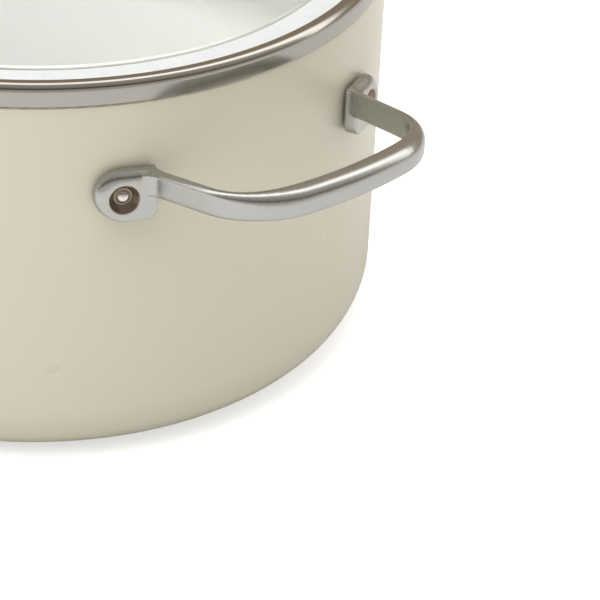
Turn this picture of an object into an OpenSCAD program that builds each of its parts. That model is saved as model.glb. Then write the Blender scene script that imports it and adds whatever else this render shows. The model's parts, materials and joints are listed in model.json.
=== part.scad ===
// Two-handled saucepan with a domed glass lid.
// The origin is the centre of the base, +Z is up and the two handles lie along X.
// All sizes are in millimetres.

/* [Pot] */
// Outside diameter of the pot
pot_d = 245; // [180:1:320]
// Height of the pot's rim above its base
pot_h = 138.7; // [90:0.1:200]
// Thickness of the side wall
wall_t = 2.5; // [2:0.1:4]
// Thickness of the bottom
bottom_t = 5; // [4:0.1:8]
// Outside radius between the wall and the base
base_corner_r = 21; // [12:0.5:30]
// Rounding of the rim's two edges
rim_round_r = 0.9; // [0.3:0.1:0.9]

/* [Induction disc] */
// Diameter of the steel disc pressed into the base
disc_d = 178; // [100:1:180]
// Thickness of the disc
disc_t = 1.2; // [0.8:0.1:2]
// Diameter of the holes that lock the disc into the base metal
disc_hole_d = 5; // [3:0.5:8]
// Distance between the rings of holes
disc_ring_step = 17; // [14:1:20]

/* [Handles] */
// Distance between the two studs of one handle, straight across
stud_spacing = 101.6; // [85:0.1:120]
// Distance from the pot's rim down to the studs
stud_drop = 32.2; // [25:0.1:45]
// How far the grip's outer edge stands out from the wall
handle_reach = 48.2; // [38:0.1:58]
// Height of the bar's section
bar_h = 9.5; // [7:0.1:12]
// Thickness of the bar where it leaves the flange
leg_t = 3.5; // [3:0.1:5]
// Thickness of the bar along the grip
grip_t = 7.8; // [5:0.1:10]
// Radius of the bend between a leg and the grip, at the middle of the bar
bend_r = 24; // [14:0.5:28]
// Radius of the long curve of the grip, at the middle of the bar
grip_curve_r = 126; // [100:1:400]
// Angle by which the legs close in towards the grip
leg_lean = 5.7; // [0:0.1:10]
// Angle at which the handle rises away from the pot
rise_angle = 8.8; // [0:0.1:12]
// Rounding of the bar's outer top edge
bar_top_round_r = 3.7; // [1:0.1:4]
// Rounding of the bar's outer bottom edge
bar_low_round_r = 3; // [1:0.1:3]
// Rounding of the bar's two inner edges
bar_inner_round_r = 1.8; // [0.5:0.1:2]

/* [Handle flanges] */
// Height of a flange
flange_h = 17.6; // [16:0.1:26]
// How far the flange's middle lies above the stud
flange_lift = 0.6; // [0:0.1:1.5]
// Distance from the stud to the flange's square side
flange_inner = 11; // [9:0.1:14]
// Distance from the stud to the flange's round end
flange_outer = 9.6; // [8:0.1:14]
// Thickness of a flange
flange_t = 4.8; // [4:0.1:7]
// Rounding of the flange's front edge along its top and round end
flange_round_r = 3.6; // [0.5:0.1:3.8]
// Radius of the fillet between the flange and the bar
root_fillet_r = 5; // [2:0.5:7]

/* [Studs and washers] */
// Diameter of a stud
stud_d = 4.9; // [3:0.1:5.2]
// Clearance on diameter between a stud and its hole
stud_clear = 0.4; // [0.2:0.1:0.8]
// Diameter of the collar that holds the handle off the wall
collar_d = 9; // [7:0.5:12]
// Gap between the wall and the flange, filled by the collar
standoff = 1; // [0.5:0.1:2]
// Diameter of the dished recess at the flange's face
recess_d = 10.4; // [8.6:0.1:12]
// Depth of the recess
recess_depth = 3.2; // [2.6:0.1:3.4]
// Outside diameter of the push-on washer
washer_d = 6.3; // [6.2:0.1:7]
// Thickness of the push-on washer
washer_t = 0.7; // [0.4:0.1:1]

/* [Lid rim] */
// Gap between the resting lid and the pot's rim
lid_gap = 0.3; // [0.2:0.1:0.6]
// How far the lid's band stands out from the pot's wall
band_overhang = 0.7; // [0.2:0.1:2]
// Height of the band
band_h = 7.4; // [7:0.1:12]
// Width of the band's top, from its outer edge to its lip
band_top_w = 4.3; // [3.6:0.1:7]
// Radius of the band's rounded shoulder
shoulder_r = 2.8; // [1.5:0.1:3.2]
// Thickness of the band's steel sheet
sheet_t = 0.6; // [0.4:0.1:0.8]
// Depth of the ring that centres the lid inside the pot
spigot_depth = 6; // [3:0.5:12]
// Clearance between that ring and the pot's inside, on radius
spigot_clear = 0.7; // [0.4:0.1:2]

/* [Lid glass] */
// Thickness of the glass
glass_t = 4; // [3:0.1:5]
// Width of the flat rim of the glass that shows inside the band
glass_flat_w = 10.7; // [5:0.1:20]
// Height of the dome above the flat rim
dome_rise = 20; // [12:0.5:35]
// Thickness of the silicone seal round the edge of the glass
seal_t = 1.8; // [1.2:0.1:2.5]

/* [Vent] */
// Distance of the steam vent from the lid's centre
vent_r = 62; // [35:1:75]
// Bore of the steam vent
vent_bore_d = 3.6; // [2:0.1:5]
// Diameter of the vent's flange
vent_flange_d = 11; // [9:0.5:14]

/* [Knob] */
// Largest diameter of the knob
knob_d = 40; // [30:1:50]
// Height of the knob above its collar
knob_h = 25; // [20:1:35]
// Diameter of the knob's neck
knob_neck_d = 15; // [12:0.5:20]
// Diameter of the collar under the knob
knob_collar_d = 26; // [20:1:32]
// Thread diameter of the knob's screw
screw_d = 5; // [4:0.5:6]

/* [Hidden] */

$fn = 96;
eps = 0.01;
cream = "#ded8c4";
steel = "#b9b7b2";
bright_steel = "#cfcfce";
clear_glass = [0.80, 0.90, 0.86, 0.45];
white_silicone = "#f2f2ee";
grey_silicone = "#8d8f90";

// Pot
pot_r = pot_d / 2;
pot_inner_r = pot_r - wall_t;
inner_corner_r = base_corner_r - wall_t;

// Induction disc
disc_hole_clear = 0.05;
disc_ring_count = floor((disc_d / 2 - disc_hole_d - 4) / disc_ring_step);
disc_hole_pitch = 15;

// Handle: the flanges face outwards at stud_angle each side of the X axis
stud_angle = asin(stud_spacing / 2 / pot_r);
stud_z = pot_h - stud_drop;
flange_back = pot_r + standoff;
flange_front = flange_back + flange_t;
flange_r = flange_h / 2;
flange_corner_r = 3.5;
flange_round_steps = 6;
// A flange's square side lies along stud_angle, and back_corner is where it meets the
// flange's back, seen from above. The leg starts leg_ahead of it, leg_offset outside it.
back_corner = flange_back * [cos(stud_angle), sin(stud_angle)]
    + flange_inner * [sin(stud_angle), -cos(stud_angle)];
leg_offset = 0.85;
leg_ahead = 0.6;
leg_x = back_corner.x + leg_ahead;
leg_y = back_corner.y + leg_offset + leg_t / 2;
// The bar starts to rise where it leaves the flange
rise_x = back_corner.x + flange_t * cos(stud_angle);
grip_x = pot_r + handle_reach - grip_t / 2;
bar_top_z = stud_z + flange_lift + flange_r;
bar_edge_points = 5;
bend_steps = 14;
grip_steps = 9;
leg_steps = 5;

// Lid
lid_z = pot_h + lid_gap;
band_r = pot_r + band_overhang;
lip_r = band_r - band_top_w;
spigot_r = pot_inner_r - spigot_clear;
// The glass lies just under the band's lip, and the seal fills the band below it.
seal_clear = 0.1;
seal_r = band_r - sheet_t - seal_clear;
glass_edge_r = seal_r - seal_t - seal_clear;
glass_top_z = band_h - sheet_t - seal_clear;
glass_under_z = glass_top_z - glass_t;
seal_inset = 0.3;
dome_edge_r = lip_r - glass_flat_w;
dome_outer_r = (dome_edge_r * dome_edge_r + dome_rise * dome_rise) / (2 * dome_rise);
dome_inner_r = dome_outer_r - glass_t;
dome_centre_z = lid_z + glass_top_z + dome_rise - dome_outer_r;
dome_top_z = dome_centre_z + dome_outer_r;
dome_under_z = dome_centre_z + dome_inner_r;

// Vent
vent_tube_d = vent_bore_d + 2;
vent_angle = asin(vent_r / dome_outer_r);
vent_flange_t = 0.9;
vent_clear = 0.2;

// Knob and what clamps it to the glass
knob_edge_r = 3.4;
knob_cap_r = 48;
knob_flare_r = 6;
screw_clear = 0.1;
glass_hole_d = screw_d + 4;
upper_gasket_t = 1.5;
lower_gasket_t = 1.5;
collar_t = 3;
washer_plate_t = 1;
spring_washer_t = 1.2;
screw_head_d = 1.9 * screw_d;
screw_head_t = 0.65 * screw_d;
screw_bite = 12;
knob_base_z = dome_top_z + upper_gasket_t + collar_t;
lower_gasket_r = knob_collar_d / 2 - 2;
lower_gasket_sag = dome_inner_r - sqrt(dome_inner_r * dome_inner_r - lower_gasket_r * lower_gasket_r);
lower_gasket_z = dome_under_z - lower_gasket_sag - lower_gasket_t;
washer_plate_z = lower_gasket_z - washer_plate_t;
spring_washer_z = washer_plate_z - spring_washer_t;

// ---------------------------------------------------------------- helpers

// Points of an arc about c, from angle a0 to a1, in the given number of steps
function arc(c, r, a0, a1, steps) =
    [for (i = [0:steps]) let (a = a0 + (a1 - a0) * i / steps) c + r * [cos(a), sin(a)]];

// Eases from 0 to 1
function smooth(t) = let (k = min(1, max(0, t))) k * k * (3 - 2 * k);

// Puts children at the stud of one flange: local X points out of the wall, local Y
// away from the other flange of the same handle, and the origin is the pot's axis.
module at_flange(side, end) {
    mirror([side < 0 ? 1 : 0, 0, 0]) mirror([0, end < 0 ? 1 : 0, 0])
        translate([0, 0, stud_z]) rotate([0, 0, stud_angle]) children();
}

// A solid ring between radii r_in and r_out, from z0 up to z0 + t
module ring(r_out, r_in, z0, t) {
    difference() {
        translate([0, 0, z0]) cylinder(r = r_out, h = t);
        translate([0, 0, z0 - 1]) cylinder(r = r_in, h = t + 2);
    }
}

// -------------------------------------------------------------------- pot

module pot_profile() {
    difference() {
        union() {
            square([pot_r - base_corner_r, base_corner_r]);
            translate([pot_r - base_corner_r, base_corner_r]) circle(r = base_corner_r);
            translate([0, base_corner_r]) square([pot_r, pot_h - rim_round_r - base_corner_r]);
            translate([pot_inner_r, pot_h - rim_round_r - eps])
                square([wall_t - rim_round_r, rim_round_r + eps]);
            for (x = [pot_inner_r + rim_round_r, pot_r - rim_round_r])
                translate([x, pot_h - rim_round_r]) circle(r = rim_round_r, $fn = 32);
        }
        translate([0, bottom_t + inner_corner_r]) square([pot_inner_r, pot_h]);
        translate([0, bottom_t]) square([pot_inner_r - inner_corner_r, inner_corner_r + eps]);
        translate([pot_inner_r - inner_corner_r, bottom_t + inner_corner_r])
            circle(r = inner_corner_r);
        translate([-2 * pot_r, -pot_h]) square([2 * pot_r, 3 * pot_h]);
    }
}

// Centres of the disc's locking holes, ring by ring
function disc_holes() = [
    for (k = [1:disc_ring_count])
        let (r = k * disc_ring_step, n = floor(2 * PI * r / disc_hole_pitch))
            for (i = [0:n - 1]) r * [cos(360 * i / n), sin(360 * i / n)]
];

module pot_body() {
    color(cream) difference() {
        rotate_extrude($fn = 180) pot_profile();
        difference() {
            translate([0, 0, -1]) cylinder(d = disc_d, h = disc_t + 1);
            for (p = disc_holes()) translate([p.x, p.y, 0])
                cylinder(d = disc_hole_d - 2 * disc_hole_clear, h = disc_t + 1, $fn = 32);
        }
    }
}

module induction_disc() {
    color(steel) difference() {
        cylinder(d = disc_d, h = disc_t, $fn = 180);
        for (p = disc_holes()) translate([p.x, p.y, -1])
            cylinder(d = disc_hole_d, h = disc_t + 2, $fn = 32);
    }
}

// ---------------------------------------------------------------- handles

// The grip is an arc about [grip_x - grip_curve_r, 0]. A bend of radius bend_r joins it
// to the straight leg, so the bend's centre lies bend_r inside the leg's line and
// grip_curve_r - bend_r from the grip's centre.
leg_dir = [cos(leg_lean), -sin(leg_lean)];
leg_normal = [sin(leg_lean), cos(leg_lean)];
grip_centre = [grip_x - grip_curve_r, 0];
bend_line = [leg_x, leg_y] - bend_r * leg_normal - grip_centre;
bend_dot = bend_line * leg_dir;
bend_gap = grip_curve_r - bend_r;
leg_len = -bend_dot + sqrt(bend_dot * bend_dot - bend_line * bend_line + bend_gap * bend_gap);
bend_centre = grip_centre + bend_line + leg_len * leg_dir;
bend_start_a = 90 - leg_lean;
bend_end_a = atan2(bend_centre.y - grip_centre.y, bend_centre.x - grip_centre.x);

// Half of the bar's middle line, from the leg's root to the middle of the grip.
// Each entry is [point, direction of the outward normal, thickness].
half_bar = concat(
    [for (i = [0:leg_steps - 1]) [[leg_x, leg_y] + leg_len * i / leg_steps * leg_dir,
        bend_start_a, leg_t]],
    [for (i = [0:bend_steps]) let (t = i / bend_steps,
        a = bend_start_a + (bend_end_a - bend_start_a) * t)
        [bend_centre + bend_r * [cos(a), sin(a)], a, leg_t + (grip_t - leg_t) * smooth(t)]],
    [for (i = [1:grip_steps]) let (a = bend_end_a * (1 - i / grip_steps))
        [grip_centre + grip_curve_r * [cos(a), sin(a)], a, grip_t]]
);
bar = concat(half_bar,
    [for (i = [len(half_bar) - 2:-1:0]) let (s = half_bar[i])
        [[s[0].x, -s[0].y], -s[1], s[2]]]);

// A rectangle w across and h high around the origin, with +X the outer side. Its corners
// are rounded in the order outer top, inner top, inner bottom, outer bottom.
function bar_section(w, h) = let (
        radii = [min(bar_top_round_r, 0.55 * w), min(bar_inner_round_r, 0.4 * w),
                 min(bar_inner_round_r, 0.4 * w), min(bar_low_round_r, 0.5 * w)]) [
    for (q = [0:3]) let (r = radii[q],
                         c = [(q == 0 || q == 3 ? 1 : -1) * (w / 2 - r),
                              (q < 2 ? 1 : -1) * (h / 2 - r)])
        for (p = arc(c, r, 90 * q, 90 * q + 90, bar_edge_points)) p
];

module bar() {
    rings = [for (s = bar)
        let (z = bar_top_z - bar_h / 2 + max(0, s[0].x - rise_x) * tan(rise_angle))
            [for (p = bar_section(s[2], bar_h))
                [s[0].x + p.x * cos(s[1]), s[0].y + p.x * sin(s[1]), z + p.y]]];
    n = len(rings[0]);
    last = len(rings) - 1;
    polyhedron(
        points = [for (r = rings) for (p = r) p],
        faces = concat(
            [[for (i = [0:n - 1]) i]],
            [for (k = [0:last - 1]) for (i = [0:n - 1]) let (j = (i + 1) % n)
                [k * n + i, (k + 1) * n + i, (k + 1) * n + j, k * n + j]],
            [[for (i = [n - 1:-1:0]) last * n + i]]
        )
    );
}

// Outline of a flange in its own plane, X towards the round end and Y up, with its top
// and its round end drawn in by inset
module flange_outline(inset) {
    r = flange_r - inset / 2;
    end_x = flange_outer - inset - r;
    corner = [flange_corner_r - flange_inner, flange_corner_r - flange_r];
    translate([end_x, -inset / 2]) circle(r = r, $fn = 40);
    translate([corner.x, -flange_r]) square([end_x - corner.x, flange_h - inset]);
    translate([-flange_inner, corner.y]) square([flange_corner_r, flange_r - inset - corner.y]);
    translate(corner) circle(r = flange_corner_r, $fn = 40);
}

// One flange, its back at flange_back from the pot's axis
module flange() {
    translate([flange_back, 0, flange_lift]) rotate([90, 0, 90]) hull() {
        for (i = [0:flange_round_steps])
            let (a = 90 * i / flange_round_steps)
                linear_extrude(flange_t - flange_round_r * (1 - sin(a)))
                    flange_outline(flange_round_r * (1 - cos(a)));
    }
}

// Fills the inside corner between a flange's face and the leg's outer side, in the
// flange's own frame, where side is the point at which the two meet
module root_fillet() {
    r = root_fillet_r;
    leg_a = -stud_angle - leg_lean;
    leg_side = [leg_x, leg_y] + leg_t / 2 * leg_normal;
    ahead = leg_side * [cos(stud_angle), sin(stud_angle)];
    across = leg_side * [-sin(stud_angle), cos(stud_angle)];
    side = [flange_front, across + (flange_front - ahead) * tan(leg_a)];
    open_a = 90 - leg_a;
    reach = r / tan(open_a / 2);
    centre = side + [r, reach];
    foot = side + reach * [cos(leg_a), sin(leg_a)];
    z0 = bar_top_z - stud_z - bar_h + 1;
    translate([0, 0, z0]) linear_extrude(bar_h - 2) difference() {
        polygon([side + [-1, -1], side + [-1, reach], side + [0, reach], centre, foot,
                 foot + [-1, -1]]);
        translate(centre) circle(r = r, $fn = 64);
    }
}

module flange_cuts() {
    rotate([0, 90, 0]) {
        cylinder(d = stud_d + stud_clear, h = flange_front + 1, $fn = 40);
        translate([0, 0, flange_front - recess_depth])
            cylinder(d = washer_d + 0.3, h = recess_depth + 1, $fn = 48);
        translate([0, 0, flange_front - recess_depth + washer_t])
            cylinder(d1 = washer_d + 0.3, d2 = recess_d, h = recess_depth - washer_t + eps, $fn = 48);
    }
}

module handle(side) {
    color(steel) difference() {
        union() {
            mirror([side < 0 ? 1 : 0, 0, 0]) bar();
            for (end = [-1, 1]) at_flange(side, end) {
                flange();
                root_fillet();
            }
        }
        for (end = [-1, 1]) at_flange(side, end) flange_cuts();
    }
}

module handle_left() { handle(-1); }
module handle_right() { handle(1); }

// A stud welded to the wall, with its collar and its domed end
module stud(side, end) {
    shank_end = flange_front - recess_depth + washer_t;
    dome_h = 1.5;
    dome_r = (stud_d * stud_d / 4 + dome_h * dome_h) / (2 * dome_h);
    color(bright_steel) difference() {
        at_flange(side, end) rotate([0, 90, 0]) {
            translate([0, 0, pot_r - 1]) cylinder(d = collar_d, h = 1 + standoff, $fn = 48);
            translate([0, 0, pot_r - 1])
                cylinder(d = stud_d, h = shank_end - pot_r + 1, $fn = 40);
            intersection() {
                translate([0, 0, shank_end + dome_h - dome_r]) sphere(r = dome_r, $fn = 64);
                translate([0, 0, shank_end - eps]) cylinder(d = stud_d, h = dome_r, $fn = 40);
            }
        }
        cylinder(r = pot_r, h = pot_h, $fn = 180);
    }
}

module stud_left_front() { stud(-1, -1); }
module stud_left_rear() { stud(-1, 1); }
module stud_right_front() { stud(1, -1); }
module stud_right_rear() { stud(1, 1); }

// The toothed washer pushed over the stud's end, at the bottom of the recess
module push_washer(side, end) {
    color(steel) at_flange(side, end) rotate([0, 90, 0])
        ring(washer_d / 2, stud_d / 2, flange_front - recess_depth, washer_t, $fn = 48);
}

module push_washer_left_front() { push_washer(-1, -1); }
module push_washer_left_rear() { push_washer(-1, 1); }
module push_washer_right_front() { push_washer(1, -1); }
module push_washer_right_rear() { push_washer(1, 1); }

// -------------------------------------------------------------------- lid

// Outside of the band above the pot's rim, as a filled shape reduced by inset
module band_outside(inset) {
    r = shoulder_r - inset;
    c = [band_r - shoulder_r, band_h - shoulder_r];
    translate([lip_r - 1, inset]) square([band_r - inset - lip_r + 1, c.y - inset]);
    translate(c) circle(r = r, $fn = 64);
    translate([lip_r - 1, c.y - eps]) square([c.x - lip_r + 1, r + eps]);
}

module lid_band() {
    color(steel) translate([0, 0, lid_z]) rotate_extrude($fn = 180) {
        difference() {
            band_outside(0);
            band_outside(sheet_t);
            translate([lip_r - 2, sheet_t]) square([2, band_h]);
            translate([lip_r - 2, -1]) square([2 + eps, sheet_t + 2]);
        }
        translate([spigot_r - sheet_t, -spigot_depth])
            square([sheet_t, spigot_depth + sheet_t]);
        translate([spigot_r - sheet_t, 0]) square([band_r - spigot_r - 1, sheet_t]);
    }
}

// A circle about the dome's centre, fine enough for its large radius
module dome_circle(r) {
    translate([0, dome_centre_z]) circle(r = r, $fn = 720);
}

module glass_profile() {
    translate([dome_edge_r - 1, lid_z + glass_under_z])
        square([glass_edge_r - dome_edge_r + 1, glass_t]);
    intersection() {
        difference() {
            dome_circle(dome_outer_r);
            dome_circle(dome_inner_r);
        }
        translate([0, lid_z + glass_under_z]) square([dome_edge_r, dome_rise + glass_t + 1]);
    }
}

module lid_glass() {
    color(clear_glass) difference() {
        rotate_extrude($fn = 180) glass_profile();
        cylinder(d = glass_hole_d, h = dome_top_z + 1, $fn = 48);
        at_vent() cylinder(d = vent_tube_d + 2 * vent_clear, h = dome_outer_r + 1, $fn = 48);
    }
}

// White silicone ring that seats the glass in the band
module lid_seal() {
    inner_r = dome_edge_r + seal_inset;
    color(white_silicone) translate([0, 0, lid_z]) rotate_extrude($fn = 180) {
        translate([inner_r, sheet_t]) square([seal_r - inner_r, glass_under_z - sheet_t]);
        translate([seal_r - seal_t, sheet_t])
            square([seal_t, band_h - shoulder_r - sheet_t]);
    }
}

// Puts children on the vent's axis, square to the dome, with the dome's centre at 0
module at_vent() {
    translate([0, 0, dome_centre_z]) rotate([-vent_angle, 0, 0]) children();
}

module vent_eyelet() {
    tube_z0 = dome_inner_r - 1.6;
    color(bright_steel) at_vent() difference() {
        union() {
            translate([0, 0, tube_z0])
                cylinder(d = vent_tube_d, h = dome_outer_r - tube_z0 + eps, $fn = 48);
            translate([0, 0, dome_outer_r])
                cylinder(d1 = vent_flange_d, d2 = vent_flange_d - 2.4, h = vent_flange_t, $fn = 64);
        }
        translate([0, 0, tube_z0 - 1])
            cylinder(d = vent_bore_d, h = dome_outer_r - tube_z0 + 4, $fn = 48);
        translate([0, 0, dome_outer_r + vent_flange_t - 0.8])
            cylinder(d1 = vent_bore_d, d2 = vent_bore_d + 2, h = 0.8 + eps, $fn = 48);
    }
}

// The ring that the eyelet's tube is rolled over, under the glass
module vent_backing_ring() {
    color(bright_steel) at_vent()
        ring(vent_flange_d / 2 - 1, vent_tube_d / 2, dome_inner_r - 1.2, 1, $fn = 64);
}

// ------------------------------------------------------------------- knob

// Half section of the knob: a neck that flares into a domed head. The head's edge circle
// touches the cap's large circle from inside, so the two run into each other smoothly.
module knob_profile() {
    neck_r = knob_neck_d / 2;
    edge_x = knob_d / 2 - knob_edge_r;
    cap_gap = knob_cap_r - knob_edge_r;
    cap_z = knob_h - knob_cap_r;
    edge_z = cap_z + sqrt(cap_gap * cap_gap - edge_x * edge_x);
    under_z = edge_z - knob_edge_r;
    touch = [edge_x, edge_z - cap_z] * knob_cap_r / cap_gap + [0, cap_z];
    difference() {
        union() {
            square([neck_r + knob_flare_r, edge_z]);
            translate([0, under_z]) square([edge_x, knob_edge_r]);
            translate([edge_x, edge_z]) circle(r = knob_edge_r, $fn = 64);
            intersection() {
                translate([0, cap_z]) circle(r = knob_cap_r, $fn = 360);
                polygon([[0, under_z], [edge_x, under_z], [edge_x, edge_z], touch,
                         [touch.x, knob_h], [0, knob_h]]);
            }
        }
        translate([neck_r + knob_flare_r, under_z - knob_flare_r]) circle(r = knob_flare_r);
        translate([neck_r, -1]) square([knob_d, under_z - knob_flare_r + 1]);
        translate([-knob_d, -knob_h]) square([knob_d, 3 * knob_h]);
    }
}

module knob() {
    color(steel) difference() {
        translate([0, 0, knob_base_z]) rotate_extrude($fn = 128) knob_profile();
        translate([0, 0, knob_base_z - 1]) cylinder(d = screw_d, h = screw_bite + 2, $fn = 40);
    }
}

module knob_collar() {
    z0 = dome_top_z + upper_gasket_t;
    color(steel) difference() {
        union() {
            translate([0, 0, z0]) cylinder(d = knob_collar_d, h = 0.6 * collar_t);
            translate([0, 0, z0 + 0.6 * collar_t - eps])
                cylinder(d1 = knob_collar_d, d2 = knob_collar_d - 3, h = 0.4 * collar_t + eps);
        }
        translate([0, 0, z0 - 1]) cylinder(d = screw_d + 0.4, h = collar_t + 2, $fn = 40);
    }
}

// The upper gasket seats on the dome and lines the hole in the glass
module knob_upper_gasket() {
    inner_r = screw_d / 2 + screw_clear;
    color(grey_silicone) rotate_extrude() {
        difference() {
            translate([inner_r, dome_under_z])
                square([knob_collar_d / 2 - 0.5 - inner_r, glass_t + upper_gasket_t]);
            dome_circle(dome_outer_r);
        }
        translate([inner_r, dome_under_z + 0.3])
            square([glass_hole_d / 2 - 0.05 - inner_r, glass_t]);
    }
}

// The lower gasket's top edge touches the underside of the dome
module knob_lower_gasket() {
    color(grey_silicone)
        ring(lower_gasket_r, screw_d / 2 + screw_clear, lower_gasket_z, lower_gasket_t, $fn = 64);
}

module knob_washer() {
    color(bright_steel)
        ring((knob_collar_d - 8) / 2, screw_d / 2 + 0.2, washer_plate_z, washer_plate_t, $fn = 64);
}

// Split on one side, so that it can spring
module knob_spring_washer() {
    color(steel) difference() {
        ring(screw_head_d / 2 - 0.2, screw_d / 2 + 0.1, spring_washer_z, spring_washer_t, $fn = 48);
        translate([0, 0, spring_washer_z + spring_washer_t / 2]) rotate([30, 0, 0])
            translate([0, -0.3, -3]) cube([screw_head_d, 0.6, 6]);
    }
}

// Pan-head screw with a cross recess, driven up from inside the lid
module knob_screw() {
    head_z = spring_washer_z - screw_head_t;
    cross_w = 0.18 * screw_head_d;
    cross_l = 0.5 * screw_head_d;
    color(bright_steel) difference() {
        union() {
            translate([0, 0, head_z + 1]) cylinder(d = screw_head_d, h = screw_head_t - 1, $fn = 48);
            translate([0, 0, head_z])
                cylinder(d1 = screw_head_d - 2, d2 = screw_head_d, h = 1 + eps, $fn = 48);
            translate([0, 0, head_z + 1])
                cylinder(d = screw_d, h = knob_base_z + screw_bite - head_z - 1, $fn = 40);
        }
        for (a = [0, 90]) rotate([0, 0, a])
            translate([-cross_l / 2, -cross_w / 2, head_z - 1]) cube([cross_l, cross_w, 2.6]);
    }
}

// ------------------------------------------------------------------ nodes

pot_body();
induction_disc();
handle_left();
handle_right();
stud_left_front();
stud_left_rear();
stud_right_front();
stud_right_rear();
push_washer_left_front();
push_washer_left_rear();
push_washer_right_front();
push_washer_right_rear();
lid_band();
lid_glass();
lid_seal();
vent_eyelet();
vent_backing_ring();
knob();
knob_collar();
knob_upper_gasket();
knob_lower_gasket();
knob_washer();
knob_spring_washer();
knob_screw();
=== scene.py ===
import json
import math

import bmesh
import bpy
from mathutils import Matrix, Vector


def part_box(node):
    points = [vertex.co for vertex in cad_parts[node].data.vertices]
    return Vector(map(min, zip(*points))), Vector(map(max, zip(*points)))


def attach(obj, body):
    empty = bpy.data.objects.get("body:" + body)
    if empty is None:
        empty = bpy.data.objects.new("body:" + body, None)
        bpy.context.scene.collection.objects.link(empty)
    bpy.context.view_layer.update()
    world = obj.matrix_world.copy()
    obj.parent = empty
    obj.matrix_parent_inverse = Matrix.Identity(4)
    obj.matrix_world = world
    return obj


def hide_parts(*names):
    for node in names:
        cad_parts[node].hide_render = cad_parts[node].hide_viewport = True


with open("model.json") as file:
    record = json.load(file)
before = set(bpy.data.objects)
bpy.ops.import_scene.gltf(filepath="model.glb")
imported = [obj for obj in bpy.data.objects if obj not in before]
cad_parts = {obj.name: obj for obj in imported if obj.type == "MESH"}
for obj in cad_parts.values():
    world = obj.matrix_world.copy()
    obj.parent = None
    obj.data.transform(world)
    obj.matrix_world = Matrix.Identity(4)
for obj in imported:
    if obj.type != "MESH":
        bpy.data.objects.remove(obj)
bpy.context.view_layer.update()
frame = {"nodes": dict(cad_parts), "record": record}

# The camera, in metres and degrees, with its lens in millimetres. Heading is measured
# from +X towards +Y.
CAMERA_AT = Vector((0.6972, -0.5178, 0.5480))
CAMERA_HEADING = 136.91
CAMERA_PITCH = -32.69
CAMERA_ROLL = 2.92
CAMERA_LENS = 162.7
CAMERA_REACH = 50

# The studio, as linear radiance and watts
STRIP_LIGHT = 2.6
# The room over the object, from the horizon behind it, at 0 degrees, over the top to the
# horizon behind the camera, at 180: each is an angle and a share of the strip's light.
ROOM = (
    (0, (0.20, 0.165, 0.125)),
    (48, (0.17, 0.135, 0.10)),
    (56, (1.00, 1.00, 0.98)),
    (74, (1.00, 1.00, 0.98)),
    (84, (0.24, 0.23, 0.215)),
    (126, (0.17, 0.155, 0.135)),
    (138, (0.07, 0.055, 0.04)),
    (150, (0.07, 0.055, 0.04)),
    (160, (0.25, 0.245, 0.23)),
    (180, (0.30, 0.30, 0.285)),
)
BACKDROP = (0.92, 0.92, 0.91)
FLOOR_Z = -0.0001
FLOOR_HALF = 6.0
FLOOR_LIGHT = (0.70, 0.70, 0.70)
FLOOR_DARK = (0.68, 0.68, 0.68)
FLOOR_GLOW = (1.0, 1.0, 1.0)
FLOOR_GLOW_POWER = 0.60
SOFTBOX_AT = (0.0, -0.55, 1.50)
SOFTBOX_AIM = (0, 0, 0.05)
SOFTBOX_SIZE = 1.6
SOFTBOX_POWER = 28

# Finishes, as linear colours
CREAM = (0.655, 0.632, 0.517)
CREAM_INSIDE = (0.650, 0.655, 0.632)
SATIN_STEEL = (0.450, 0.453, 0.440)
RIM_STEEL = (0.390, 0.375, 0.345)
BASE_STEEL = (0.560, 0.550, 0.530)
SMALL_STEEL = (0.700, 0.690, 0.670)
GLASS_TINT = (0.984, 0.992, 0.986)
WHITE_SILICONE = (0.820, 0.815, 0.820)
GREY_SILICONE = (0.180, 0.185, 0.190)

# How dark each finish goes where its noise is strongest, as a share of its colour
CREAM_SHADE = 0.985
STEEL_SHADE = 0.98
GLASS_SHADE = 0.995
SILICONE_SHADE = 0.96
# The roughness of the noise textures, and how far a lathe mark drifts, in metres per
# radian round the axis
NOISE_ROUGHNESS = 0.55
LATHE_MARK_DRIFT = 0.006
# The height of steel's grain, in metres
GRAIN = 0.0000006

# The pot's wall and the round of its base corner, for telling its inside from its outside:
# what lies deeper in the wall than INSIDE_FROM is inside.
POT_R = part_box("pot_body")[1].x
WALL = 0.0025
CORNER_R = 0.021
INSIDE_FROM = 0.6 * WALL

# The handles' recesses: the middle of the washer in the bottom of one of them, how far
# the painted shade reaches from it and over what width it ends, that painted shade's colour and
# how much rougher the steel is there
RECESS_AT = sum(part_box("push_washer_right_rear"), Vector()) / 2
RECESS_REACH = 0.0059
RECESS_FADE = 0.0003
RECESS_PAINTED_SHADE = (0.250, 0.200, 0.155)
RECESS_ROUGHER = 0.12

# The handles' meshes: the step of the even grid, and how often it is smoothed and how much
HANDLE_VOXEL = 0.00035
HANDLE_SMOOTHING = 8
HANDLE_SMOOTHING_SHARE = 0.5

# Pieces made again on ring meshes, each with its body. Edges sharper than SHARP_FROM
# degrees stay sharp.
TURNED = {"lid_band": "lid", "lid_seal": "lid", "knob": "lid", "knob_collar": "lid"}
LATHE_STEPS = 480
SEAM_TOLERANCE = 0.000001
SEAM_DIGITS = 7
SHARP_FROM = 35


# ------------------------------------------------------------- node helpers

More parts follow.
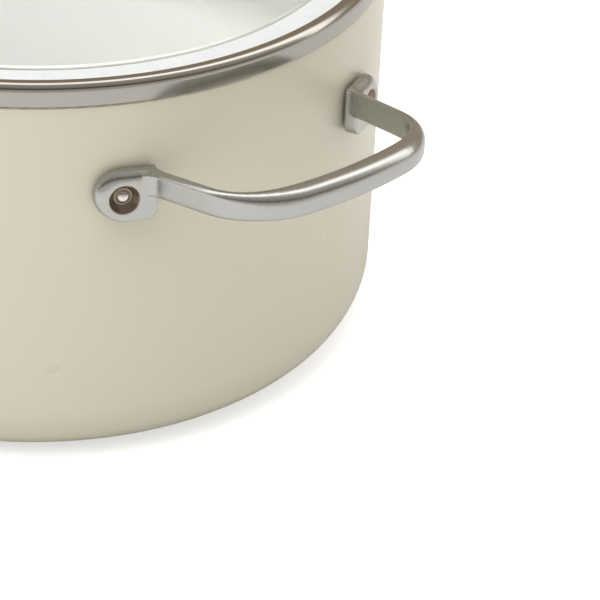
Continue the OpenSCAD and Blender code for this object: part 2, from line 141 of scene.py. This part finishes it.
class Shader:
    """A material's node tree, with short calls for the nodes that the finishes use."""

    def __init__(self, name):
        self.material = bpy.data.materials.new(name)
        self.material.use_nodes = True
        self.nodes = self.material.node_tree.nodes
        self.links = self.material.node_tree.links
        self.nodes.clear()
        self.bsdf = self.nodes.new("ShaderNodeBsdfPrincipled")
        self.surface = self.nodes.new("ShaderNodeOutputMaterial").inputs["Surface"]
        self.links.new(self.bsdf.outputs["BSDF"], self.surface)
        self.place = self.nodes.new("ShaderNodeTexCoord").outputs["Object"]

    def set(self, **values):
        """Constants on the shader's own sockets; an underscore in a name is a space."""
        for key, value in values.items():
            socket = self.bsdf.inputs[key.replace("_", " ")]
            socket.default_value = (*value, 1) if isinstance(value, tuple) else value
        return self

    def feed(self, socket, source):
        self.links.new(source, self.bsdf.inputs[socket])

    def put(self, socket, value):
        """Links value to socket if it is an output, and sets it if it is a number."""
        if isinstance(value, bpy.types.NodeSocket):
            self.links.new(value, socket)
        else:
            socket.default_value = value

    def math(self, operation, a, b=0.0):
        node = self.nodes.new("ShaderNodeMath")
        node.operation = operation
        self.put(node.inputs[0], a)
        self.put(node.inputs[1], b)
        return node.outputs[0]

    def span(self, value, low, high, to_low=0.0, to_high=1.0):
        """Maps value from low..high to to_low..to_high, held at both ends."""
        node = self.nodes.new("ShaderNodeMapRange")
        for i, v in enumerate((value, low, high, to_low, to_high)):
            self.put(node.inputs[i], v)
        return node.outputs[0]

    def mix(self, share, a, b):
        """A colour between a and b."""
        node = self.nodes.new("ShaderNodeMix")
        node.data_type = "RGBA"
        self.put(node.inputs["Factor"], share)
        for socket, value in ((node.inputs[6], a), (node.inputs[7], b)):
            self.put(socket, (*value, 1) if isinstance(value, tuple) else value)
        return node.outputs[2]

    def noise(self, scale, detail=3.0, place=None):
        node = self.nodes.new("ShaderNodeTexNoise")
        node.inputs["Scale"].default_value = scale
        node.inputs["Detail"].default_value = detail
        node.inputs["Roughness"].default_value = NOISE_ROUGHNESS
        self.links.new(place or self.place, node.inputs["Vector"])
        return node.outputs["Fac"]

    def axes(self):
        node = self.nodes.new("ShaderNodeSeparateXYZ")
        self.links.new(self.place, node.inputs[0])
        return node.outputs[0], node.outputs[1], node.outputs[2]

    def radius(self):
        """Distance from the Z axis."""
        x, y, _ = self.axes()
        squares = self.math("ADD", self.math("MULTIPLY", x, x), self.math("MULTIPLY", y, y))
        return self.math("SQRT", squares)

    def turned(self):
        """A place that hardly changes round the Z axis, for marks left by a lathe."""
        x, y, z = self.axes()
        angle = self.math("ARCTAN2", y, x)
        node = self.nodes.new("ShaderNodeCombineXYZ")
        self.put(node.inputs[0], self.radius())
        self.put(node.inputs[1], self.math("MULTIPLY", angle, LATHE_MARK_DRIFT))
        self.put(node.inputs[2], z)
        return node.outputs[0]

    def mirrored_distance(self, point):
        """Distance from point or the nearest of its images in the planes of X and Y."""
        folded = self.nodes.new("ShaderNodeVectorMath")
        folded.operation = "ABSOLUTE"
        self.links.new(self.place, folded.inputs[0])
        node = self.nodes.new("ShaderNodeVectorMath")
        node.operation = "DISTANCE"
        self.links.new(folded.outputs[0], node.inputs[0])
        node.inputs[1].default_value = point
        return node.outputs["Value"]

    def bump(self, height, distance):
        node = self.nodes.new("ShaderNodeBump")
        node.inputs["Distance"].default_value = distance
        node.inputs["Strength"].default_value = 1.0
        self.links.new(height, node.inputs["Height"])
        self.links.new(node.outputs["Normal"], self.bsdf.inputs["Normal"])

    def radial_tangent(self):
        node = self.nodes.new("ShaderNodeTangent")
        node.direction_type = "RADIAL"
        node.axis = "Z"
        self.links.new(node.outputs[0], self.bsdf.inputs["Tangent"])


# ---------------------------------------------------------------- materials

def darker(colour, share):
    return tuple(share * c for c in colour)


def cream_coating():
    """Satin ceramic coating: cream outside, paler inside, with a faint cast texture."""
    s = Shader("cream_coating").set(Metallic=0.0, Specular_IOR_Level=0.5)
    out = s.math("MAXIMUM", s.math("SUBTRACT", s.radius(), POT_R - CORNER_R))
    down = s.math("MAXIMUM", s.math("SUBTRACT", CORNER_R, s.axes()[2]))
    from_middle = s.math("SQRT", s.math("ADD", s.math("POWER", out, 2), s.math("POWER", down, 2)))
    inside = s.math("LESS_THAN", from_middle, CORNER_R - INSIDE_FROM)
    tone = s.noise(6.0, 1.0)
    outer = s.mix(s.span(tone, 0.3, 0.7), CREAM, darker(CREAM, CREAM_SHADE))
    inner = s.mix(s.span(tone, 0.3, 0.7), CREAM_INSIDE, darker(CREAM_INSIDE, CREAM_SHADE))
    s.feed("Base Color", s.mix(inside, outer, inner))
    s.feed("Roughness", s.span(s.noise(40.0, 2.0), 0.2, 0.8, 0.27, 0.31))
    s.bump(s.noise(900.0, 2.0), 0.000004)
    return s.material


def steel(name, colour, rough, turned=False, anisotropy=0.0, recess=None):
    """Stainless steel, either satin all over or brushed round the Z axis. A recess at the
    place given, and at its mirror images, gets painted shade, a darker colour, and is made
    rougher."""
    s = Shader(name).set(Metallic=1.0, Anisotropic=anisotropy)
    place = s.turned() if turned else s.place
    lines = s.noise(5200.0 if turned else 3200.0, 2.0, place)
    cloud = s.noise(70.0, 3.0)
    tone = s.mix(s.span(cloud, 0.3, 0.7), colour, darker(colour, STEEL_SHADE))
    spread = s.math("ADD", s.span(lines, 0.3, 0.7, rough - 0.02, rough + 0.02),
                    s.span(cloud, 0.3, 0.7, -0.01, 0.01))
    if recess:
        away = s.mirrored_distance(recess)
        in_recess = s.span(away, RECESS_REACH - RECESS_FADE, RECESS_REACH, 1, 0)
        # Painted shade: the recess is drawn darker than the steel round it
        tone = s.mix(in_recess, tone, RECESS_PAINTED_SHADE)
        spread = s.math("ADD", spread, s.math("MULTIPLY", in_recess, RECESS_ROUGHER))
    s.feed("Base Color", tone)
    s.feed("Roughness", spread)
    s.bump(lines, GRAIN)
    if anisotropy:
        s.radial_tangent()
    return s.material


def glass():
    """Clear tempered glass with a faint green tint and barely visible waviness. Shadow
    rays pass straight through, so the inside of the pot is lit as through real glass."""
    s = Shader("lid_glass").set(Metallic=0.0, IOR=1.5, Transmission_Weight=1.0)
    s.feed("Base Color", s.mix(s.noise(20.0), GLASS_TINT, darker(GLASS_TINT, GLASS_SHADE)))
    s.feed("Roughness", s.span(s.noise(40.0), 0.3, 0.7, 0.0, 0.02))
    s.bump(s.noise(30.0, 1.0), 0.00002)
    clear = s.nodes.new("ShaderNodeBsdfTransparent")
    clear.inputs[0].default_value = (*GLASS_TINT, 1)
    either = s.nodes.new("ShaderNodeMixShader")
    s.put(either.inputs[0], s.nodes.new("ShaderNodeLightPath").outputs["Is Shadow Ray"])
    s.put(either.inputs[1], s.bsdf.outputs[0])
    s.put(either.inputs[2], clear.outputs[0])
    s.put(s.surface, either.outputs[0])
    return s.material


def silicone(name, colour, rough):
    s = Shader(name).set(Metallic=0.0, Subsurface_Weight=0.1)
    s.feed("Base Color", s.mix(s.noise(90.0), colour, darker(colour, SILICONE_SHADE)))
    s.feed("Roughness", s.span(s.noise(300.0), 0.3, 0.7, rough - 0.04, rough + 0.04))
    s.bump(s.noise(1800.0, 2.0), 0.00001)
    return s.material


FINISHES = {
    "cream_coating": cream_coating(),
    "satin_steel": steel("satin_steel", SATIN_STEEL, 0.26, recess=RECESS_AT),
    "rim_steel": steel("rim_steel", RIM_STEEL, 0.17, turned=True, anisotropy=0.3),
    "base_steel": steel("base_steel", BASE_STEEL, 0.30, turned=True, anisotropy=0.5),
    "small_steel": steel("small_steel", SMALL_STEEL, 0.20),
    "lid_glass": glass(),
    "white_silicone": silicone("white_silicone", WHITE_SILICONE, 0.45),
    "grey_silicone": silicone("grey_silicone", GREY_SILICONE, 0.55),
}
SLOT_OF = {s["node"]: s["material_slot"] for s in frame["record"]["subparts"]}


def finish_piece(piece, slot):
    piece.data.materials.clear()
    piece.data.materials.append(FINISHES[slot])


def finish_cad_nodes():
    for name, node in frame["nodes"].items():
        finish_piece(node, SLOT_OF[name])


# ------------------------------------------------------------ turned pieces

def seam_outline(mesh):
    """The (radius, height) outline of a turned mesh, in order, from the edges on its seam:
    those in the plane of X and Z, on the +X side. Open ends are carried to the Z axis."""
    beside = {}
    for edge in mesh.edges:
        ends = [mesh.vertices[i].co for i in edge.vertices]
        if all(abs(p.y) < SEAM_TOLERANCE and p.x > -SEAM_TOLERANCE for p in ends):
            a, b = ((round(p.x, SEAM_DIGITS), round(p.z, SEAM_DIGITS)) for p in ends)
            if a != b:
                beside.setdefault(a, set()).add(b)
                beside.setdefault(b, set()).add(a)
    ends = [p for p, others in beside.items() if len(others) == 1]
    assert len(ends) in (0, 2) and all(len(others) < 3 for others in beside.values())
    outline = [ends[0] if ends else min(beside)]
    ahead = sorted(beside[outline[0]])
    while ahead and ahead[0] != outline[0]:
        outline.append(ahead[0])
        ahead = [p for p in sorted(beside[outline[-1]]) if p != outline[-2]]
    if ends:
        outline = [(0, outline[0][1])] + outline + [(0, outline[-1][1])]
    return outline


def weld(mesh):
    """Joins points in the same place, such as those that meet on the axis."""
    work = bmesh.new()
    work.from_mesh(mesh)
    bmesh.ops.remove_doubles(work, verts=work.verts, dist=SEAM_TOLERANCE)
    work.to_mesh(mesh)
    work.free()


def lathe(name, body):
    """A copy of a turned CAD piece on an even ring mesh, so that reflections run true."""
    outline = seam_outline(frame["nodes"][name].data)
    size = len(outline)
    verts = []
    for i in range(LATHE_STEPS):
        angle = 2 * math.pi * i / LATHE_STEPS
        verts += [(r * math.cos(angle), r * math.sin(angle), z) for r, z in outline]
    area = sum(a[0] * b[1] - b[0] * a[1] for a, b in zip(outline, outline[1:] + outline[:1]))
    turn = 1 if area > 0 else -1
    faces = []
    for i in range(LATHE_STEPS):
        here, there = i * size, (i + 1) % LATHE_STEPS * size
        for j in range(size):
            k = (j + 1) % size
            if max(outline[j][0], outline[k][0]) > SEAM_TOLERANCE:
                faces.append((here + j, there + j, there + k, here + k)[::turn])
    mesh = bpy.data.meshes.new("turned_" + name)
    mesh.from_pydata(verts, [], faces)
    weld(mesh)
    mesh.shade_smooth()
    mesh.set_sharp_from_angle(angle=math.radians(SHARP_FROM))
    piece = bpy.data.objects.new("turned_" + name, mesh)
    piece.matrix_world = frame["nodes"][name].matrix_world.copy()
    bpy.context.scene.collection.objects.link(piece)
    finish_piece(piece, SLOT_OF[name])
    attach(piece, body)
    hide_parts(name)


# ------------------------------------------------------------------ handles

def evaluated_copy(piece, name):
    """A new mesh object with piece's modifiers applied."""
    graph = bpy.context.evaluated_depsgraph_get()
    mesh = bpy.data.meshes.new_from_object(piece.evaluated_get(graph))
    made = bpy.data.objects.new(name, mesh)
    bpy.context.scene.collection.objects.link(made)
    return made


def cast_handle(side):
    """The handle's casting with softly rounded edges, from its CAD solid."""
    node = frame["nodes"]["handle_" + side]
    work = bpy.data.objects.new("work", node.data.copy())
    bpy.context.scene.collection.objects.link(work)
    remesh = work.modifiers.new("even", "REMESH")
    remesh.mode = "VOXEL"
    remesh.voxel_size = HANDLE_VOXEL
    remesh.use_smooth_shade = True
    smooth = work.modifiers.new("soft", "SMOOTH")
    smooth.factor = HANDLE_SMOOTHING_SHARE
    smooth.iterations = HANDLE_SMOOTHING
    piece = evaluated_copy(work, "cast_handle_" + side)
    bpy.data.objects.remove(work)
    finish_piece(piece, "satin_steel")
    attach(piece, "pot")
    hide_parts("handle_" + side)


# ------------------------------------------------------------------- studio

def make_camera():
    heading, pitch = math.radians(CAMERA_HEADING), math.radians(CAMERA_PITCH)
    ahead = Vector((math.cos(pitch) * math.cos(heading), math.cos(pitch) * math.sin(heading),
                    math.sin(pitch)))
    right = ahead.cross(Vector((0, 0, 1))).normalized()
    up = right.cross(ahead)
    turn = Matrix.Rotation(math.radians(-CAMERA_ROLL), 3, ahead)
    axes = Matrix((turn @ right, turn @ up, -ahead)).transposed()
    data = bpy.data.cameras.new("camera")
    data.lens = CAMERA_LENS
    data.clip_end = CAMERA_REACH
    camera = bpy.data.objects.new("camera", data)
    camera.matrix_world = Matrix.Translation(CAMERA_AT) @ axes.to_4x4()
    bpy.context.scene.collection.objects.link(camera)
    bpy.context.scene.camera = camera


def area_light(name, at, aim, size, power, mirrored=True):
    """A soft lamp. One that isn't mirrored lights surfaces but doesn't show in them."""
    data = bpy.data.lights.new(name, "AREA")
    data.shape = "RECTANGLE"
    data.size, data.size_y = size
    data.energy = power
    light = bpy.data.objects.new(name, data)
    light.location = at
    light.rotation_mode = "QUATERNION"
    light.rotation_quaternion = (Vector(aim) - Vector(at)).to_track_quat("-Z", "Y")
    light.visible_glossy = mirrored
    bpy.context.scene.collection.objects.link(light)


def make_floor():
    """A plain pale floor. Its glow, which keeps it white to the eye, lights nothing."""
    mesh = bpy.data.meshes.new("floor")
    corners = ((-1, -1), (1, -1), (1, 1), (-1, 1))
    mesh.from_pydata([(FLOOR_HALF * x, FLOOR_HALF * y, FLOOR_Z) for x, y in corners], [],
                     [(0, 1, 2, 3)])
    floor = bpy.data.objects.new("floor", mesh)
    bpy.context.scene.collection.objects.link(floor)
    s = Shader("floor").set(Roughness=0.9, Specular_IOR_Level=0.1, Emission_Color=FLOOR_GLOW)
    s.feed("Base Color", s.mix(s.noise(3.0), FLOOR_LIGHT, FLOOR_DARK))
    seen = s.nodes.new("ShaderNodeLightPath").outputs["Is Camera Ray"]
    s.feed("Emission Strength", s.math("MULTIPLY", seen, FLOOR_GLOW_POWER))
    floor.data.materials.append(s.material)


def make_world():
    """A room for the metal to reflect: brown behind the object, with a long strip light
    above and behind it, and dim over the camera. The camera sees a plain pale backdrop."""
    world = bpy.data.worlds.new("studio")
    bpy.context.scene.world = world
    world.use_nodes = True
    nodes, links = world.node_tree.nodes, world.node_tree.links
    nodes.clear()

    def add(kind, *sources):
        node = nodes.new("ShaderNode" + kind)
        for i, source in enumerate(sources):
            if isinstance(source, bpy.types.NodeSocket):
                links.new(source, node.inputs[i])
            elif source is not None:
                node.inputs[i].default_value = source
        return node

    direction = add("TexCoord").outputs["Generated"]
    height = add("SeparateXYZ", direction).outputs[2]
    away = add("VectorMath", direction, Vector((-CAMERA_AT.x, -CAMERA_AT.y, 0)).normalized())
    away.operation = "DOT_PRODUCT"
    angle = add("Math", height, away.outputs["Value"])
    angle.operation = "ARCTAN2"
    share = add("Math", angle.outputs[0], math.pi)
    share.operation = "DIVIDE"
    room = add("ValToRGB", share.outputs[0])
    stops = room.color_ramp.elements
    while len(stops) < len(ROOM):
        stops.new(0.5)
    for stop, (at, colour) in zip(stops, ROOM):
        stop.position = at / 180
        stop.color = (*colour, 1)
    is_seen = add("LightPath").outputs["Is Camera Ray"]
    colour = add("MixRGB", is_seen, room.outputs[0], (*BACKDROP, 1))
    power = add("MapRange", is_seen, 0.0, 1.0, STRIP_LIGHT, 1.0)
    surface = add("Background", colour.outputs[0], power.outputs[0])
    links.new(surface.outputs[0], add("OutputWorld").inputs[0])


def make_studio():
    make_floor()
    make_world()
    area_light("overhead", SOFTBOX_AT, SOFTBOX_AIM, (SOFTBOX_SIZE, SOFTBOX_SIZE),
               SOFTBOX_POWER, mirrored=False)
    bpy.context.scene.view_settings.view_transform = "Standard"


make_camera()
finish_cad_nodes()
for name, body in TURNED.items():
    lathe(name, body)
for side in ("left", "right"):
    cast_handle(side)
make_studio()
